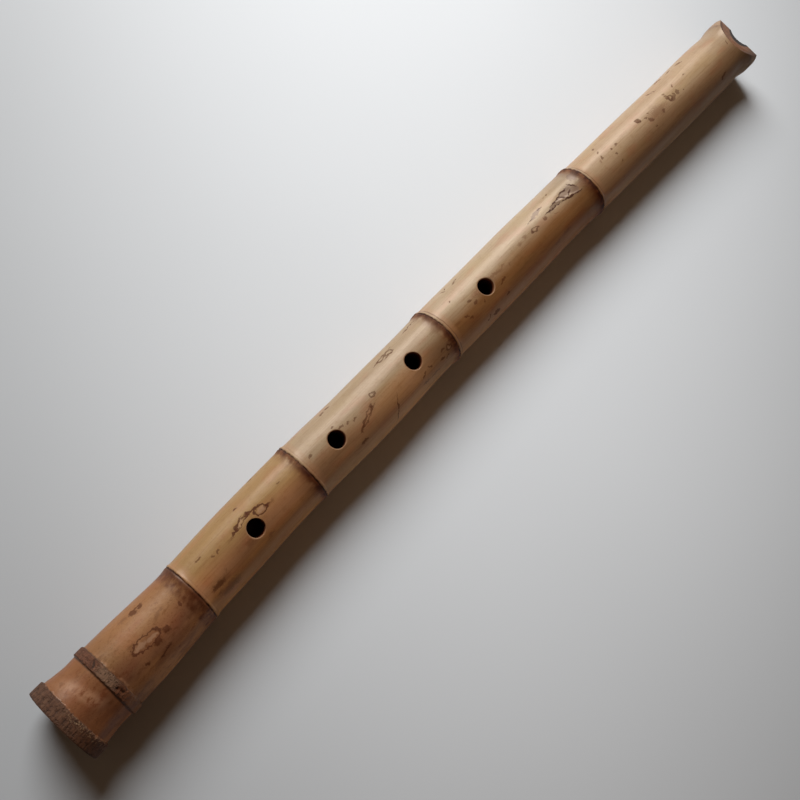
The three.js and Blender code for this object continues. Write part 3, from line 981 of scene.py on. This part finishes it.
# The bore's lining
# A filler of ground stone and lacquer laid on the inside of the culm, and filed to the bore's fine
# taper. It ends where the inlay of horn is seated, and the holes go through it.
lining_lip = 0.5 * mm
lining_outline = [(along, radius + lining_thickness) for along, radius in bore_outline(0, lining_end, 0)]
inner = bore_outline(0, lining_end, 0)
lining_inner = [(0, inner[0][1] + lining_lip), (lining_lip, inner[0][1])] + inner[1:]
lining = revolve("lacquered_lining", lining_outline + lining_inner[::-1], 96, ring=True)
lay_along_flute(lining)
lining.data.materials.append(lacquer_finish())
cut(lining, hole_cutters)
give_smooth_faces(lining, 38)
keep_straight_places(lining)
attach(lining, "root")
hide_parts("bore_lining")

# The inlay of the blowing edge
# A crescent of dark horn, glued into a pocket at the front of the mouth and filed flush with the
# bore and with the bevel, so that the edge that splits the breath stays sharp.
inlay_gap = 0.05 * mm
inlay_slack = 0.04 * mm
inlay = inlay_bar("horn_inlay", inlay_seat + inlay_gap, flute_length, inlay_slack)
bare_bore = revolve("bare_bore_cutter", bore_outline(lining_end - overrun, flute_length + overrun, 0), 96)
lay_along_flute(bare_bore)


def horn_finish():
    """Polished horn: almost black, with brown streaks."""
    material, sums, shader = new_finish("polished_horn")
    place = sums.node("ShaderNodeTexCoord", {}, {}, 3)
    streaks = place.stretched((0.15, 1, 1)).noise(700, 3, 0.6)
    colour = streaks.coloured([(0.35, tone(24, 17, 14)), (0.75, tone(60, 42, 32))])
    feed(shader, {"Base Color": colour, "Roughness": 0.38 + streaks * 0.12})
    shader.inputs["Specular IOR Level"].default_value = 0.3
    return material


horn = horn_finish()
inlay.data.materials.append(horn)
for cutter in (bare_bore, bevel):
    cutter.data.materials.clear()
    cutter.data.materials.append(horn)
cut(inlay, [bare_bore, bevel])
give_smooth_faces(inlay, 30)
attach(inlay, "root")
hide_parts("blowing_edge_inlay")
for cutter in [bore_cutter, *hole_cutters, pocket, bevel, bare_bore]:
    bpy.data.objects.remove(cutter)

# The table, the window and the camera
# The flute lies on a plain pale table. A large soft light stands to the upper left of the view,
# and the camera looks down at it from over its root half, as in the picture.
table_shape = bmesh.new()
bmesh.ops.create_grid(table_shape, x_segments=1, y_segments=1, size=3)
table = to_object("table", table_shape)


def table_finish():
    """A pale matt table top, very slightly uneven, with a painted pool of light in the middle of the view
    that darkens towards the corners.
    """
    material, sums, shader = new_finish("table_top")
    place = sums.node("ShaderNodeTexCoord", {}, {}, 3)
    haze = place.noise(3, 2)
    right, back = place.part(0) - 0.10, place.part(1) - 0.05
    down_view, over_view = right + back, right - back
    # A painted pool of light: brightest in the middle of the view, darker towards the corners
    painted_light_pool = 1.05 - down_view * down_view * 0.8 - over_view * over_view * 2.85
    painted_light_pool = painted_light_pool.node("ShaderNodeMath", {"operation": "SMOOTH_MAX"}, {0: painted_light_pool, 1: 0.58, 2: 0.3})
    colour = haze.coloured([(0.3, tone(228, 228, 229)), (0.7, tone(233, 233, 234))])
    colour = colour.node("ShaderNodeVectorMath", {"operation": "SCALE"}, {0: colour, "Scale": painted_light_pool})
    feed(shader, {"Base Color": colour, "Roughness": 0.8 + haze * 0.1})
    return material


table.data.materials.append(table_finish())


def hang_lamp(name, way, distance, power, colour, width, height=0):
    """A soft lamp that hangs some way off and faces the flute. It is round unless it has a height."""
    lamp = bpy.data.lights.new(name, "AREA")
    lamp.shape = "RECTANGLE" if height else "DISK"
    lamp.size = width
    lamp.size_y = height or width
    lamp.energy = power
    lamp.color = colour
    hung = bpy.data.objects.new(name, lamp)
    bpy.context.scene.collection.objects.link(hung)
    away = Vector(way).normalized()
    facing = away.to_track_quat("Z", "Y").to_matrix().to_4x4()
    hung.matrix_world = Matrix.Translation(away * distance) @ facing
    return hung


window = hang_lamp(
    "window", way=(0.262, 0.675, 0.69), distance=1.27, power=20.5, colour=(0.93, 0.975, 1.0), width=0.82
)
window.visible_glossy = False

# What shines on the skin is the bright wall beside the window, lower down
bright_wall = hang_lamp(
    "bright_wall",
    way=(0.42, 0.82, 0.42),
    distance=1.35,
    power=27,
    colour=(1.0, 0.88, 0.77),
    width=1.1,
    height=0.45,
)
bright_wall.visible_diffuse = False

world = bpy.data.worlds.new("room")
bpy.context.scene.world = world
world.use_nodes = True
room = Shade(world.node_tree)
to_camera, to_gloss, through = [room.node("ShaderNodeLightPath", {}, {}, number) for number in (0, 3, 6)]
fill_colour = (0.066, 0.042, 0.026, 1)
mirrored_colour = (0.09, 0.065, 0.045, 1)
room_colour = room.node(
    "ShaderNodeMix", {"data_type": "RGBA"}, {0: to_gloss, 6: fill_colour, 7: mirrored_colour}, 2
)
room_colour = room_colour.painted(tone(206, 209, 214), to_camera.most(through))
feed(world.node_tree.nodes["Background"], {"Color": room_colour, "Strength": 1.0})

camera_tilt = radians(19.145)
camera_roll = radians(45.784)
camera_distance = 0.5469
look_at = Vector((root_end + 0.22364, -0.00637, 0.019))
view_way = Vector((sin(camera_tilt), 0, -cos(camera_tilt)))
along_view = Vector((cos(camera_tilt), 0, sin(camera_tilt)))
sideways = Vector((0, 1, 0))
right = cos(camera_roll) * along_view - sin(camera_roll) * sideways
over = sin(camera_roll) * along_view + cos(camera_roll) * sideways
lens = bpy.data.cameras.new("camera")
lens.lens = 47.25
camera = bpy.data.objects.new("camera", lens)
bpy.context.scene.collection.objects.link(camera)
camera.matrix_world = Matrix.Translation(look_at - view_way * camera_distance) @ Matrix(
    (right, over, -view_way)
).transposed().to_4x4()
bpy.context.scene.camera = camera
bpy.context.scene.view_settings.view_transform = "Standard"
